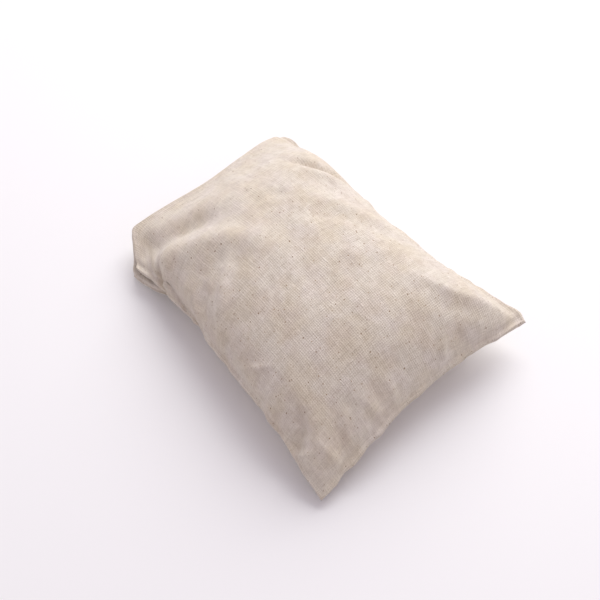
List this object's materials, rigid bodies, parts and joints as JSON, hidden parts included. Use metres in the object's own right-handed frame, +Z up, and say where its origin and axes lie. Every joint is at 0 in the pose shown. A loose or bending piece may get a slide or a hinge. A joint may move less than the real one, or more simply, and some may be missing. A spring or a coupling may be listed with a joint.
{
  "type": "herbal compress pouch",
  "caption": "Small rectangular calico pouch stuffed with dried herbs and sewn shut, lying flat, with soft corner ears and a flat hemmed mouth.",
  "frame": {"origin": "on the table, under the middle of the pouch's outline", "axes": "+X along the long sides from the hemmed mouth to the far end, +Y from the near long side to the far long side, +Z up"},
  "size_m": [0.12, 0.096, 0.037],
  "materials": {
    "calico": "matt unbleached plain weave with dark seed flecks",
    "thread": "matt cotton sewing thread",
    "chopped_herbs": "dry chopped leaf and root",
    "ginger": "dried root slice with a wrinkled skin",
    "turmeric": "dried orange root slice",
    "lemongrass": "dried stalk with long fibres",
    "lime_peel": "dried pitted citrus peel",
    "lime_leaf": "dried leaf with a midrib"
  },
  "bodies": {
    "root": {"top_panel": "calico", "bottom_panel": "calico", "near_side_stitches": "thread", "far_side_stitches": "thread", "far_end_stitches": "thread", "mouth_stitches": "thread", "chopped_herb_fill": "chopped_herbs", "ginger_slices": "ginger", "turmeric_slices": "turmeric", "lemongrass_cuts": "lemongrass", "lime_peel_strips": "lime_peel", "lime_leaves": "lime_leaf"}
  },
  "joints": []
}
